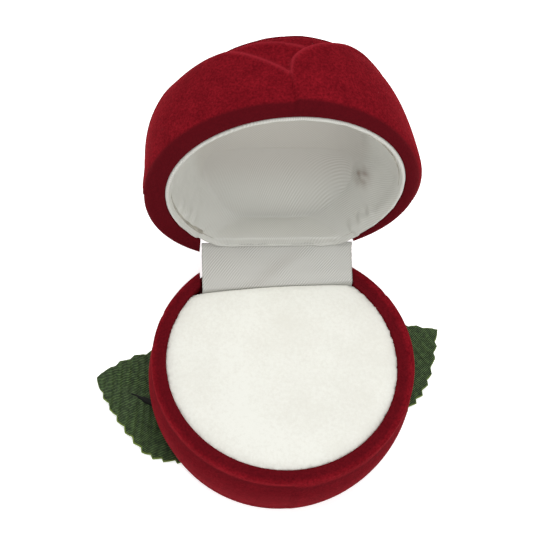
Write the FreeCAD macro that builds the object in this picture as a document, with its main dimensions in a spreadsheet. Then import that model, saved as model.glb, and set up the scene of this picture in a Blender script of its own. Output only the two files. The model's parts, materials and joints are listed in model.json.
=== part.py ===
"""Ring box shaped as a rosebud: two flocked shells on a steel hinge, padded base, lined lid, leaves.

Millimetres, +Z up.  The origin is the centre of the foot, +Y runs towards the hinge and +X to the
right.  The box stands open: every piece of the lid is drawn closed and then turned back about the
hinge axis by the opening angle.
"""
import FreeCAD, Part
import math
import os

import Sketcher
from FreeCAD import Placement, Rotation, Vector

DOC = FreeCAD.newDocument("RingBox")
SHEET = DOC.addObject("Spreadsheet::Sheet", "Dims")

DIMENSIONS = {
    # shells
    "rim_height": 22.0,        # parting plane of the base above the table
    "closed_gap": 0.3,         # between the two rims when the box is shut
    "bud_radius": 25.0,        # widest radius of a petal
    "rim_radius": 24.5,        # outside of the rim, at the foot of its rounded edge
    "rim_round": 1.5,          # rounded outer edge of the rim
    "belly_depth": 6.0,        # from the rim to the widest part
    "belly_arc": 30.0,         # radius of the wall above the widest part of the lid
    "shoulder_arc": 16.0,      # radius of the lid's shoulder
    "shoulder_in": 1.2,        # how far the wall has come in where the shoulder starts
    "cap_rise": 1.2,           # height of the domed middle of the lid
    "cavity_arc": 17.0,        # radius of the hollow under the shoulder
    "cavity_cap": 1.0,         # rise of the domed middle of the hollow
    "plinth_outer": 18.7,      # ring inside the base that carries the pad's card
    "plinth_inner": 17.5,
    "lap": 0.2,                # how far a fused piece runs into its neighbour
    "mouth_radius": 21.8,      # opening inside the rim
    "flange": 1.6,             # thickness of the inturned rim
    "cavity_radius": 22.9,     # hollow behind the rim
    "foot_radius": 18.5,
    "foot_plane": 1.5,         # underside of the base shell
    "foot_corner": 6.5,        # curve from the foot to the wall
    "floor_thickness": 1.9,
    "petal_shift": 0.58,       # how far each petal's own centre stands off the axis
    "petal_angle": 120.0,
    "front_seam": -88.0,       # direction of the petal seam at the front
    "lid_height": 24.0,        # top of the bud above the parting plane
    "crown_radius": 13.5,      # flat-topped middle of the bud
    "ceiling": 20.6,           # inside of the lid shell above the parting plane
    "petal_top": 20.5,         # highest point of an outer petal's edge
    "petal_notch": 7.2,        # where two outer petals part above the seam
    "inner_notch": 15.0,       # where two petals of the inner ring part
    "crown_drop": 0.4,         # top of the inner ring's petals under the top of the bud
    "layer": 1.1,              # how far each inner layer of petals lies under the outer one
    # hinge
    "hinge_behind": 22.3,      # hinge axis behind the centre
    "open_angle": 93.0,
    "notch_half": 14.8,        # half width of the notch in both shells
    "notch_depth": 3.6,
    "notch_front": 15.5,       # where the notch starts behind the centre
    "leaf_half": 11.8,
    "leaf_front": 19.0,        # front face of the upright web
    "leaf_plate": 0.5,
    "leaf_reach": 8.5,         # web height from the axis
    "barrel_radius": 1.15,
    "pin_radius": 0.60,
    "pin_play": 0.05,
    "knuckle_inner": 8.2,      # base knuckles run from here outwards
    "knuckle_gap": 0.3,
    "rivet_side": 9.0,
    "rivet_drop": 5.5,         # rivets from the parting plane
    "rivet_radius": 0.7,
    "rivet_head": 1.3,
    "rivet_play": 0.03,
    "spring_half": 1.8,
    "spring_plate": 0.3,
    "spring_bow": 9.0,         # radius of the bowed half of the spring
    "spring_foot": 8.3,        # foot of the spring under the axis
    "spring_straight": 5.2,    # end of its straight half under the axis
    "spring_tip": 0.3,         # tip in front of the axis
    "spring_play": 0.35,       # gap between its tip and the barrel
    "pin_head": 0.5,
    # pad
    "card_plate": 1.0,
    "pad_depth": 8.0,          # card's top below the rim plane
    "pad_radius": 21.4,
    "pad_chord": 15.2,         # straight back of the pad
    "pad_edge": 0.3,           # height of the pad's edge against the rim plane
    "pad_crown": 1.7,          # height of the pad's middle above the rim plane
    "velvet": 0.8,
    # lining
    "lining_radius": 21.6,
    "lining_chord": 18.3,
    "lining_depth": 13.6,
    "lining_corner": 9.0,
    "lining_cap": 1.0,         # rise of the domed middle of the cup
    "cup_arc": 11.0,           # radius of the cup's corner
    "liner_card": 0.8,
    "satin": 0.4,
    "fold": 0.6,               # folded edge over the card's rim
    # ribbon
    "ribbon_half": 14.5,
    "ribbon_plate": 0.3,
    "ribbon_bow": 16.0,        # radius of the strip's hollow curve
    "ribbon_tail": 2.6,        # tucked end under the rim plane
    "ribbon_gap": 0.35,        # between the pad's back and the strip
    "ribbon_top": 3.5,         # upper end above the hinge axis
    # leaves
    "disc_plate": 0.7,
    "disc_radius": 18.3,
    "blade_plate": 0.45,
    "blade_under": 0.85,       # underside of the leaves above the table
    "blade_length": 33.0,
    "blade_half": 12.0,
    "tooth_pitch": 2.4,
    "tooth_size": 0.7,
    "wire_radius": 0.55,
    "wire_tip": 0.12,
}


class Size:
    """A length with both its value and the spreadsheet expression that gives it."""

    def __init__(self, value, text):
        self.value = value
        self.text = text

    def join(self, other, sign, value):
        other = other if isinstance(other, Size) else Size(float(other), f"{float(other)}")
        return Size(value(self.value, other.value), f"({self.text} {sign} {other.text})")

    def __add__(self, other):
        return self.join(other, "+", lambda a, b: a + b)

    def __sub__(self, other):
        return self.join(other, "-", lambda a, b: a - b)

    def __mul__(self, other):
        return self.join(other, "*", lambda a, b: a * b)

    def __truediv__(self, other):
        return self.join(other, "/", lambda a, b: a / b)

    def __neg__(self):
        return self * -1.0


def fill_sheet():
    """Write every driving dimension to the sheet and return the sizes by name."""
    sizes = {}
    for row, (name, value) in enumerate(DIMENSIONS.items(), start=1):
        SHEET.set(f"A{row}", name)
        SHEET.set(f"B{row}", str(value))
        SHEET.setAlias(f"B{row}", name)
        sizes[name] = Size(value, f"Dims.{name}")
    DOC.recompute()
    return sizes


D = fill_sheet()
ZERO = Size(0.0, "0")


def as_size(value):
    return value if isinstance(value, Size) else Size(float(value), f"{float(value)}")


def bind(obj, **properties):
    """Bind each named property of an object to a size."""
    for name, size in properties.items():
        size = as_size(size)
        path = name.replace("__", ".")
        if "." not in path:
            setattr(obj, path, size.value)
        obj.setExpression(path, size.text)


def place(obj, x=ZERO, y=ZERO, z=ZERO, turn=None):
    """Bind an object's position; turn is its fixed rotation."""
    obj.Placement = Placement(Vector(), turn or Rotation())
    bind(obj, Placement__Base__x=x, Placement__Base__y=y, Placement__Base__z=z)
    return obj


def box(name, low, high):
    """A box between two corners."""
    obj = DOC.addObject("Part::Box", name)
    low, high = [as_size(v) for v in low], [as_size(v) for v in high]
    bind(obj, Length=high[0] - low[0], Width=high[1] - low[1], Height=high[2] - low[2])
    return place(obj, *low)


def rod(name, radius, length, start, axis):
    """A cylinder from a start point along a world axis."""
    obj = DOC.addObject("Part::Cylinder", name)
    bind(obj, Radius=radius, Height=length)
    return place(obj, *start, turn=Rotation(Vector(0, 0, 1), axis))


def fuse(name, parts):
    obj = DOC.addObject("Part::MultiFuse", name)
    obj.Shapes = parts
    return obj


def cut(name, base, tool):
    obj = DOC.addObject("Part::Cut", name)
    obj.Base, obj.Tool = base, tool
    return obj


def common(name, parts):
    obj = DOC.addObject("Part::MultiCommon", name)
    obj.Shapes = parts
    return obj


AXIS_X, AXIS_Y, AXIS_Z = Vector(1, 0, 0), Vector(0, 1, 0), Vector(0, 0, 1)


def draw(sketch, corners, bulges=None):
    """Close an outline through corners of two sizes each, every corner bound to the sheet.

    bulges gives, for the edge that leaves a corner, the radius of its arc; a positive radius
    bows to the right of the way round.
    """
    bulges = bulges or {}
    points = [Vector(a.value, b.value, 0) for a, b in corners]
    for index, start in enumerate(points):
        end = points[(index + 1) % len(points)]
        if index in bulges:
            sketch.addGeometry(arc_between(start, end, bulges[index].value), False)
        else:
            sketch.addGeometry(Part.LineSegment(start, end), False)
    for index, (a, b) in enumerate(corners):
        before = (index - 1) % len(points)
        sketch.addConstraint(Sketcher.Constraint("Coincident", before, end_of(sketch, before),
                                                 index, start_of(sketch, index)))
        pin_coordinate(sketch, "DistanceX", index, a, -2)
        pin_coordinate(sketch, "DistanceY", index, b, -1)
    for index, radius in bulges.items():
        tag = sketch.addConstraint(Sketcher.Constraint("Radius", index, abs(radius.value)))
        sketch.setExpression(f"Constraints[{tag}]", (radius if radius.value > 0 else -radius).text)


def arc_between(start, end, radius):
    """The short arc from start to end that bows to the right (or left, if radius is negative)."""
    chord = end - start
    rise = abs(radius) - math.sqrt(radius ** 2 - (chord.Length / 2) ** 2)
    side = Vector(chord.y, -chord.x, 0).normalize() * math.copysign(rise, radius)
    return Part.Arc(start, (start + end) * 0.5 + side, end)


def cap_radius(edge, rise):
    """Radius of the round cap that rises over a disc, centred on the axis."""
    return (edge * edge + as_size(rise) * rise) / (as_size(rise) * 2)


def is_arc(sketch, index):
    return isinstance(sketch.Geometry[index], Part.ArcOfCircle)


def start_of(sketch, index):
    """Which end of an edge lies at its own corner: arcs always run anticlockwise."""
    return 2 if is_arc(sketch, index) and runs_back(sketch.Geometry[index]) else 1


def end_of(sketch, index):
    return 3 - start_of(sketch, index)


def runs_back(arc):
    return arc.Circle.Axis.z < 0 if hasattr(arc, "Circle") else arc.Axis.z < 0


def pin_coordinate(sketch, kind, index, size, axis):
    """Fix one coordinate of an edge's first point; a coordinate of nought lies on the axis."""
    point = start_of(sketch, index)
    if size.text == "0":
        sketch.addConstraint(Sketcher.Constraint("PointOnObject", index, point, axis))
        return
    tag = sketch.addConstraint(Sketcher.Constraint(kind, -1, 1, index, point, size.value))
    sketch.setExpression(f"Constraints[{tag}]", size.text)


def lathe(name, corners, bulges=None, shift=(0.0, 0.0)):
    """Turn an outline of (radius, height) corners about a vertical axis shifted from the centre."""
    sketch = DOC.addObject("Sketcher::SketchObject", f"{name}_outline")
    sketch.Placement = Placement(Vector(shift[0], shift[1], 0), Rotation(AXIS_X, 90))
    draw(sketch, corners, bulges)
    DOC.recompute()
    turned = DOC.addObject("Part::Revolution", name)
    turned.Source = sketch
    turned.Axis = AXIS_Z
    turned.Base = Vector(shift[0], shift[1], 0)
    turned.Angle = 360
    turned.Solid = True
    return turned


def body_lathe(name, corners, bulges=None):
    """A PartDesign body turned from an outline of (radius, height) corners."""
    body = DOC.addObject("PartDesign::Body", name)
    sketch = body_sketch(body, f"{name}_outline", "XZ_Plane")
    draw(sketch, corners, bulges)
    DOC.recompute()
    turned = body.newObject("PartDesign::Revolution", f"{name}_turned")
    turned.Profile = sketch
    turned.ReferenceAxis = (sketch, ["V_Axis"])
    turned.Angle = 360
    DOC.recompute()
    return body


def body_sketch(body, name, role):
    """An empty sketch on one of a body's origin planes."""
    sketch = body.newObject("Sketcher::SketchObject", name)
    plane = [feature for feature in body.Origin.OriginFeatures if feature.Role == role][0]
    sketch.AttachmentSupport = [(plane, "")]
    sketch.MapMode = "FlatFace"
    return sketch


def chord_cut(body, chord):
    """Cut a body straight across behind y = chord."""
    far = D["bud_radius"] * 2
    sketch = body_sketch(body, f"{body.Name}_chord", "XY_Plane")
    draw(sketch, [(-far, chord), (far, chord), (far, far), (-far, far)])
    DOC.recompute()
    before = body.Shape.Volume
    pocket = body.newObject("PartDesign::Pocket", f"{body.Name}_back")
    pocket.Profile = sketch
    pocket.Type = "ThroughAll"
    pocket.Midplane = True
    DOC.recompute()
    if not body.Shape.Volume < before:
        raise SystemExit(f"{body.Name}: the back was not cut")
    return body


def wedge(name, start_angle, low, high):
    """A sector one petal wide about the vertical axis."""
    obj = DOC.addObject("Part::Cylinder", name)
    bind(obj, Radius=D["bud_radius"] * 2, Height=high - low, Angle=D["petal_angle"])
    return place(obj, z=low, turn=Rotation(AXIS_Z, start_angle))


def petal_shift(start_angle):
    """Where a petal's own axis stands: its first edge stands proud of the last one's end."""
    toward = math.radians(start_angle - 30.0)
    reach = D["petal_shift"].value
    return reach * math.cos(toward), reach * math.sin(toward)


def petal_starts(turned=0.0):
    """The direction of each petal's first edge."""
    count = round(360.0 / DIMENSIONS["petal_angle"])
    return [DIMENSIONS["front_seam"] + turned + k * DIMENSIONS["petal_angle"] for k in range(count)]


# ---------------------------------------------------------------- base shell
def base_outline():
    rim = D["rim_height"]
    wall = D["foot_radius"] + D["foot_corner"]
    corners = [(ZERO, D["foot_plane"]), (D["foot_radius"], D["foot_plane"]),
               (wall, D["foot_plane"] + D["foot_corner"]), (D["rim_radius"], rim - D["rim_round"]),
               (D["rim_radius"] - D["rim_round"], rim), (ZERO, rim)]
    return corners, {1: D["foot_corner"], 3: D["rim_round"]}


def hollow(name, floor, roof):
    """The inside of the base shell below the rim."""
    inner = D["cavity_radius"] - D["foot_corner"]
    corners = [(ZERO, floor), (inner, floor), (D["cavity_radius"], floor + D["foot_corner"]),
               (D["cavity_radius"], roof), (ZERO, roof)]
    return lathe(name, corners, {1: D["foot_corner"]})


def notch(name, low, high):
    """The gap that both shells leave for the hinge."""
    return box(name, (-D["notch_half"], D["notch_front"], low),
               (D["notch_half"], D["bud_radius"] * 1.3, high))


def boss_pair(name, height):
    """Two posts inside the back wall that take the hinge rivets."""
    start = D["leaf_front"] + D["leaf_plate"]
    reach = D["cavity_radius"] - start - 0.6
    return [rod(f"{name}_{side}", D["rivet_head"] + 0.5, reach, (offset, start, height), AXIS_Y)
            for side, offset in (("l", -D["rivet_side"]), ("r", D["rivet_side"]))]


def rivet_holes(name, height, radius):
    """Shank holes through the web and into the posts."""
    return [rod(f"{name}_{side}", radius, D["leaf_plate"] + 2.0,
                (offset, D["leaf_front"], height), AXIS_Y)
            for side, offset in (("l", -D["rivet_side"]), ("r", D["rivet_side"]))]


def petal_solids(name, outline, low, high, turned=0.0, edge=None):
    """One turned solid a petal, each about its own axis and trimmed to its sector."""
    petals = []
    for index, start in enumerate(petal_starts(turned)):
        corners, bulges = outline()
        turned_petal = lathe(f"{name}_{index}", corners, bulges, petal_shift(start))
        pieces = [turned_petal, wedge(f"{name}_sector_{index}", start, low, high)]
        if edge:
            pieces.append(edge(f"{name}_edge_{index}", start))
        petals.append(common(f"{name}_petal_{index}", pieces))
    return petals


def make_base_shell():
    rim, floor = D["rim_height"], D["foot_plane"] + D["floor_thickness"]
    outside = fuse("base_outside", petal_solids("base_bud", base_outline, ZERO, rim + 1.0))
    card_low = rim - D["pad_depth"] - D["card_plate"]
    ring = cut("base_ring", rod("ring_outer", D["plinth_outer"], card_low - floor + D["lap"],
                                (ZERO, ZERO, floor - D["lap"]), AXIS_Z),
               rod("ring_inner", D["plinth_inner"], card_low - floor + D["lap"] * 2,
                   (ZERO, ZERO, floor - D["lap"] * 2), AXIS_Z))
    wall = cut("base_wall", outside, fuse("base_hollow", [
        hollow("base_cavity", floor, rim - D["flange"]),
        rod("base_mouth", D["mouth_radius"], D["flange"] * 2, (ZERO, ZERO, rim - D["flange"] - D["lap"]),
            AXIS_Z)]))
    height = rim - D["rivet_drop"]
    full = fuse("base_full", [wall, ring] + boss_pair("base_boss", height))
    grooves = [wire_groove(side) for side in LEAVES]
    return cut("base_shell", full, fuse("base_cuts", [
        notch("base_notch", rim - D["notch_depth"], rim + 2.0)] + grooves
        + rivet_holes("base_hole", height, D["rivet_radius"] + D["rivet_play"])))


# ---------------------------------------------------------------- lid shell
def lid_plane():
    return D["rim_height"] + D["closed_gap"]


def lid_outline(inset=0.0, crown=0.0):
    """The bud's outline above the parting plane, with each inner layer of petals inset."""
    low = lid_plane()
    wall = D["bud_radius"] - inset
    shoulder = D["lid_height"] * 0.5
    top = D["lid_height"] - crown
    corners = [(ZERO, low), (D["rim_radius"] - D["rim_round"] - inset, low),
               (D["rim_radius"] - inset, low + D["rim_round"]), (wall, low + D["belly_depth"]),
               (wall - D["shoulder_in"], low + shoulder),
               (D["crown_radius"] - inset, low + top - D["cap_rise"]), (ZERO, low + top)]
    return corners, {1: D["rim_round"], 3: D["belly_arc"], 4: D["shoulder_arc"],
                     5: cap_radius(D["crown_radius"] - inset, D["cap_rise"])}


def petal_edge(peak, valley):
    """A lying cylinder whose arched top is the free edge of a petal."""
    half = D["bud_radius"].value * math.sin(math.radians(DIMENSIONS["petal_angle"] / 2))
    rise = peak - valley
    radius = (half ** 2 + rise ** 2) / (2 * rise)

    def edge(name, start):
        middle = math.radians(start + DIMENSIONS["petal_angle"] / 2)
        obj = DOC.addObject("Part::Cylinder", name)
        bind(obj, Radius=radius, Height=D["bud_radius"] * 2)
        way = Vector(math.cos(middle), math.sin(middle), 0)
        return place(obj, z=lid_plane() + (peak - radius), turn=Rotation(AXIS_Z, way))
    return edge


def make_lid_shell():
    low = lid_plane()
    high = low + D["lid_height"] + 1.0
    outer = petal_solids("lid_outer", lid_outline, low, high,
                         edge=petal_edge(DIMENSIONS["petal_top"], DIMENSIONS["petal_notch"]))
    inner = petal_solids("lid_inner", lambda: lid_outline(DIMENSIONS["layer"], 0.6), low, high,
                         turned=DIMENSIONS["petal_angle"] / 2,
                         edge=petal_edge(DIMENSIONS["lid_height"] - DIMENSIONS["crown_drop"],
                                         DIMENSIONS["inner_notch"]))
    heart = lathe("lid_heart", *lid_outline(DIMENSIONS["layer"] * 2, 1.2))
    outside = fuse("lid_outside", outer + inner + [heart])
    roof = low + D["ceiling"]
    corners = [(ZERO, low + D["flange"]), (D["cavity_radius"], low + D["flange"]),
               (D["cavity_radius"], low + D["leaf_reach"] + 0.5),
               (D["crown_radius"] - 1.0, roof - D["cavity_cap"]), (ZERO, roof)]
    cavity = lathe("lid_cavity", corners,
                   {2: D["cavity_arc"], 3: cap_radius(D["crown_radius"] - 1.0, D["cavity_cap"])})
    mouth = rod("lid_mouth", D["mouth_radius"], D["flange"] + 1.2, (ZERO, ZERO, low - 1.0), AXIS_Z)
    wall = cut("lid_wall", outside, fuse("lid_hollow", [cavity, mouth]))
    height = low + D["rivet_drop"]
    full = fuse("lid_full", [wall] + boss_pair("lid_boss", height))
    return cut("lid_shell", full, fuse("lid_cuts", [
        notch("lid_notch", low - 2.0, low + D["notch_depth"])]
        + rivet_holes("lid_hole", height, D["rivet_radius"] + D["rivet_play"])))


# ---------------------------------------------------------------- hinge
def hinge_z():
    return D["rim_height"] + D["closed_gap"] / 2


def knuckles(name, spans, radius):
    return [rod(f"{name}_{index}", radius, end - start, (start, D["hinge_behind"], hinge_z()), AXIS_X)
            for index, (start, end) in enumerate(spans)]


def hinge_leaf(name, spans, up):
    """A stamped leaf: upright web, tabs to the axis and rolled knuckles, bored for the pin."""
    axis, plate = hinge_z(), D["leaf_plate"]
    near, far = D["barrel_radius"] - plate, D["leaf_reach"]
    front = D["leaf_front"]
    low, high = (axis + near, axis + far) if up else (axis - far, axis - near)
    tab = (axis + near, axis + near + plate) if up else (axis - near - plate, axis - near)
    pieces = [box(f"{name}_web", (-D["leaf_half"], front, low), (D["leaf_half"], front + plate, high))]
    pieces += [box(f"{name}_tab_{index}", (start, front, tab[0]), (end, D["hinge_behind"], tab[1]))
               for index, (start, end) in enumerate(spans)]
    pieces += knuckles(f"{name}_knuckle", spans, D["barrel_radius"])
    bore = rod(f"{name}_bore", D["pin_radius"] + D["pin_play"], D["leaf_half"] * 4,
               (-D["leaf_half"] * 2, D["hinge_behind"], axis), AXIS_X)
    height = lid_plane() + D["rivet_drop"] if up else D["rim_height"] - D["rivet_drop"]
    holes = [rod(f"{name}_hole_{side}", D["rivet_radius"] + D["rivet_play"], plate * 3,
                 (offset, front - plate, height), AXIS_Y)
             for side, offset in (("l", -D["rivet_side"]), ("r", D["rivet_side"]))]
    return cut(name, fuse(f"{name}_blank", pieces), fuse(f"{name}_bores", [bore] + holes))


def outer_spans():
    return [(-D["leaf_half"], -D["knuckle_inner"]), (D["knuckle_inner"], D["leaf_half"])]


def middle_span():
    reach = D["knuckle_inner"] - D["knuckle_gap"]
    return [(-reach, reach)]


def rivets(name, height):
    """Two rivets: flat head in front of the web, shank into the post."""
    pieces = []
    for side, offset in (("l", -D["rivet_side"]), ("r", D["rivet_side"])):
        head = rod(f"{name}_head_{side}", D["rivet_head"], D["leaf_plate"],
                   (offset, D["leaf_front"] - D["leaf_plate"], height), AXIS_Y)
        shank = rod(f"{name}_shank_{side}", D["rivet_radius"], D["leaf_plate"] * 2 + 1.6,
                    (offset, D["leaf_front"] - D["leaf_plate"], height), AXIS_Y)
        pieces.append(fuse(f"{name}_{side}", [head, shank]))
    group = DOC.addObject("Part::Compound", name)
    group.Links = pieces
    return group


def make_pin():
    long = D["leaf_half"] + 0.1
    shank = rod("pin_shank", D["pin_radius"], long * 2, (-long, D["hinge_behind"], hinge_z()), AXIS_X)
    head = D["pin_head"]
    heads = [rod(f"pin_head_{side}", D["barrel_radius"], head, (start, D["hinge_behind"], hinge_z()),
                 AXIS_X) for side, start in (("l", -long - head), ("r", long))]
    return fuse("hinge_pin", [shank] + heads)


def strip_body(name, half, outline, bulges=None):
    """A strip that is one section across the whole of its width, drawn in (Y, Z)."""
    body = DOC.addObject("PartDesign::Body", name)
    sketch = body_sketch(body, f"{name}_section", "YZ_Plane")
    draw(sketch, outline, bulges)
    DOC.recompute()
    pad = body.newObject("PartDesign::Pad", f"{name}_strip")
    pad.Profile = sketch
    pad.Midplane = True
    bind(pad, Length=half * 2)
    DOC.recompute()
    return body


def make_spring():
    """A bowed leaf spring behind the base web; its end bears on the lid's middle knuckle."""
    back = D["leaf_front"] + D["leaf_plate"]
    plate, axis = D["spring_plate"], hinge_z()
    tip = D["hinge_behind"] - D["spring_tip"]
    top = axis - D["barrel_radius"] - D["spring_play"]
    foot, straight = axis - D["spring_foot"], axis - D["spring_straight"]
    outline = [(back, foot), (back + plate, foot), (back + plate, straight),
               (tip, top - plate), (tip, top), (back, straight)]
    return strip_body("hinge_spring", D["spring_half"], outline,
                      {2: -D["spring_bow"], 4: D["spring_bow"] + plate})


def make_ribbon():
    """The satin strip in the open pose, from behind the pad to under the lining's fold."""
    axis_y, axis_z, plate = D["hinge_behind"], hinge_z(), D["ribbon_plate"]
    low_y = D["pad_chord"] + D["ribbon_gap"]
    rim, top = D["rim_height"], axis_z + D["ribbon_top"]
    tail = rim - D["ribbon_tail"]
    outline = [(low_y, tail), (low_y + plate, tail), (low_y + plate, rim - 0.45),
               (axis_y + 0.9, top), (axis_y + 0.8, top + plate), (low_y, rim - 0.25)]
    return strip_body("hinge_ribbon", D["ribbon_half"], outline,
                      {2: D["ribbon_bow"], 4: -(D["ribbon_bow"] + plate)})


# ---------------------------------------------------------------- pad
def pad_block(name, inset):
    """The crowned pad, inset all round by a thickness of its cover."""
    rim, low = D["rim_height"], D["rim_height"] - D["pad_depth"]
    edge = D["pad_radius"] - inset
    corners = [(ZERO, low), (edge, low), (edge, rim - D["pad_edge"] - inset),
               (ZERO, rim + D["pad_crown"] - inset)]
    rise = D["pad_crown"] + D["pad_edge"]
    body = body_lathe(name, corners, {2: cap_radius(edge, rise)})
    return chord_cut(body, D["pad_chord"] - inset)


def make_pad():
    velvet = D["velvet"]
    cover = cut("pad_cover", pad_block("pad_outside", ZERO), pad_block("pad_inside", velvet))
    foam = pad_block("pad_foam", velvet)
    low = D["rim_height"] - D["pad_depth"] - D["card_plate"]
    card = body_lathe("pad_card", [(ZERO, low), (D["pad_radius"], low),
                                   (D["pad_radius"], low + D["card_plate"]),
                                   (ZERO, low + D["card_plate"])])
    return [cover, foam, chord_cut(card, D["pad_chord"] + 1.2)]


# ---------------------------------------------------------------- lining
def cup_block(name, inset, low):
    """The cup of the lid, inset by a thickness, from a height up."""
    edge, roof = D["lining_radius"] - inset, lid_plane() + D["lining_depth"] - inset
    corner, cap = D["lining_corner"], D["lining_cap"]
    corners = [(ZERO, low), (edge, low), (edge, roof - corner - cap + inset),
               (edge - corner, roof - cap), (ZERO, roof)]
    body = body_lathe(name, corners, {2: D["cup_arc"], 3: cap_radius(edge - corner, cap)})
    return chord_cut(body, D["lining_chord"] - inset)


def make_lining():
    low, card, satin = lid_plane(), D["liner_card"], D["satin"]
    fold = low + D["fold"]
    liner = cut("lid_liner_card", cup_block("liner_outside", ZERO, fold),
                cup_block("liner_inside", card, fold - 0.01))
    skin = cut("lining_skin", cup_block("lining_outside", card, fold - 0.05),
               cup_block("lining_inside", card + satin, low))
    lip = cut("lining_lip", chord_cut(body_lathe("lip_outside", [
        (ZERO, low), (D["lining_radius"], low), (D["lining_radius"], fold), (ZERO, fold)]),
        D["lining_chord"]), cup_block("lip_inside", card + satin, low - 0.01))
    return [liner, fuse("lid_lining", [skin, lip])]


# ---------------------------------------------------------------- leaves
LEAVES = {
    # tip of the leaf, the direction from the tip to the middle, and where its wire starts
    "left": ((-34.9, 6.4), -24.0, 8.0),
    "right": ((34.8, 15.8), 215.5, 15.0),
}
STALK_REACH = 36.0             # end of a wire, from its leaf's tip


def leaf_frame(side):
    """Where a leaf's tip is and how it is turned, its length running along +X."""
    (x, y), angle, wire = LEAVES[side]
    return Vector(x, y, 0), Rotation(AXIS_Z, angle), wire


def blade_width(along):
    """Half width of a leaf at a distance from its tip."""
    share = min(max(along / DIMENSIONS["blade_length"], 0.0), 1.0)
    return DIMENSIONS["blade_half"] * math.sin(math.pi * share) ** 0.7


def toothed_side(sign):
    """One long edge from the tip to the stalk, with teeth that lean to the tip."""
    pitch, size = DIMENSIONS["tooth_pitch"], DIMENSIONS["tooth_size"]
    points = []
    for k in range(int(DIMENSIONS["blade_length"] / pitch)):
        root, point = (k + 0.25) * pitch, (k + 0.85) * pitch
        points.append(Vector(root, sign * blade_width(root), 0))
        points.append(Vector(point - size, sign * (blade_width(point) + size * 0.6), 0))
    return points


def make_blade(side):
    """A die-cut fabric leaf, flat, one plate thick."""
    end = Vector(DIMENSIONS["blade_length"], 0, 0)
    outline = [Vector()] + toothed_side(1) + [end] + toothed_side(-1)[::-1] + [Vector()]
    face = Part.Face(Part.makePolygon(outline))
    blade = DOC.addObject("Part::Feature", f"leaf_{side}")
    blade.Shape = face.extrude(Vector(0, 0, D["blade_plate"].value))
    position, rotation, _ = leaf_frame(side)
    blade.Placement = Placement(position + Vector(0, 0, D["blade_under"].value), rotation)
    return blade


def wire_height():
    return D["blade_under"] + D["blade_plate"] + D["wire_radius"] + 0.02


def make_wire(side):
    """The midrib wire, tapered to a point on the blade."""
    position, rotation, start = leaf_frame(side)
    wire = DOC.addObject("Part::Cone", f"leaf_wire_{side}")
    bind(wire, Radius1=D["wire_tip"], Radius2=D["wire_radius"], Height=STALK_REACH - start)
    begin = position + rotation.multVec(Vector(start, 0, 0))
    way = rotation.multVec(AXIS_X)
    return place(wire, begin.x, begin.y, wire_height(), turn=Rotation(AXIS_Z, way))


def wire_groove(side):
    """Room for a leaf's wire under the base shell."""
    position, rotation, start = leaf_frame(side)
    groove = DOC.addObject("Part::Box", f"groove_{side}")
    half = D["wire_radius"] + 0.35
    bind(groove, Length=STALK_REACH - start + 1.5, Width=half * 2, Height=half * 2)
    corner = position + rotation.multVec(Vector(start, -half.value, 0))
    groove.Placement = Placement(Vector(corner.x, corner.y, D["blade_under"].value), rotation)
    return groove


def make_disc():
    return rod("foot_disc", D["disc_radius"], D["disc_plate"], (ZERO, ZERO, ZERO), AXIS_Z)


# ---------------------------------------------------------------- assembly
def opened(obj):
    """Turn a piece drawn closed back about the hinge axis."""
    centre = Vector(0, D["hinge_behind"].value, hinge_z().value)
    obj.Placement = Placement(Vector(), Rotation(AXIS_X, -DIMENSIONS["open_angle"]), centre)
    return obj


def build():
    base = [make_base_shell(), hinge_leaf("hinge_base_leaf", outer_spans(), up=False), make_pin(),
            make_spring(), rivets("hinge_rivets_base", D["rim_height"] - D["rivet_drop"]),
            make_ribbon(), make_disc()] + make_pad()
    for side in LEAVES:
        base += [make_blade(side), make_wire(side)]
    lid = [make_lid_shell(), hinge_leaf("hinge_lid_leaf", middle_span(), up=True),
           rivets("hinge_rivets_lid", lid_plane() + D["rivet_drop"])] + make_lining()
    return base + [opened(piece) for piece in lid]


def check_and_write(pieces):
    """Stop on any failed object, then write one file for each piece."""
    DOC.recompute()
    for obj in DOC.Objects:
        if "Invalid" in obj.State or "Error" in obj.State:
            raise SystemExit(f"{obj.Name} failed: {obj.State}")
    os.makedirs("parts", exist_ok=True)
    for piece in pieces:
        piece.Label = piece.Name
        shape = piece.Shape
        if shape.isNull() or not shape.isValid():
            raise SystemExit(f"{piece.Label}: bad shape")
        box_of = shape.optimalBoundingBox()
        print(f"{piece.Label:20s} solids {len(shape.Solids)} volume {shape.Volume:9.1f} "
              f"x {box_of.XMin:.2f} {box_of.XMax:.2f} y {box_of.YMin:.2f} {box_of.YMax:.2f} "
              f"z {box_of.ZMin:.2f} {box_of.ZMax:.2f}")
        shape.exportStep(f"parts/{piece.Label}.step")


check_and_write(build())
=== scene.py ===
"""Rosebud ring box: flocked shells, velvet pad, satin lining and ribbon, fabric leaves, steel hinge.

Metres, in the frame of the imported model: +Z up, +Y towards the hinge, +X to the right.
"""
from __future__ import annotations

import json
import logging
import math
from dataclasses import dataclass, field
from enum import Enum

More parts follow.
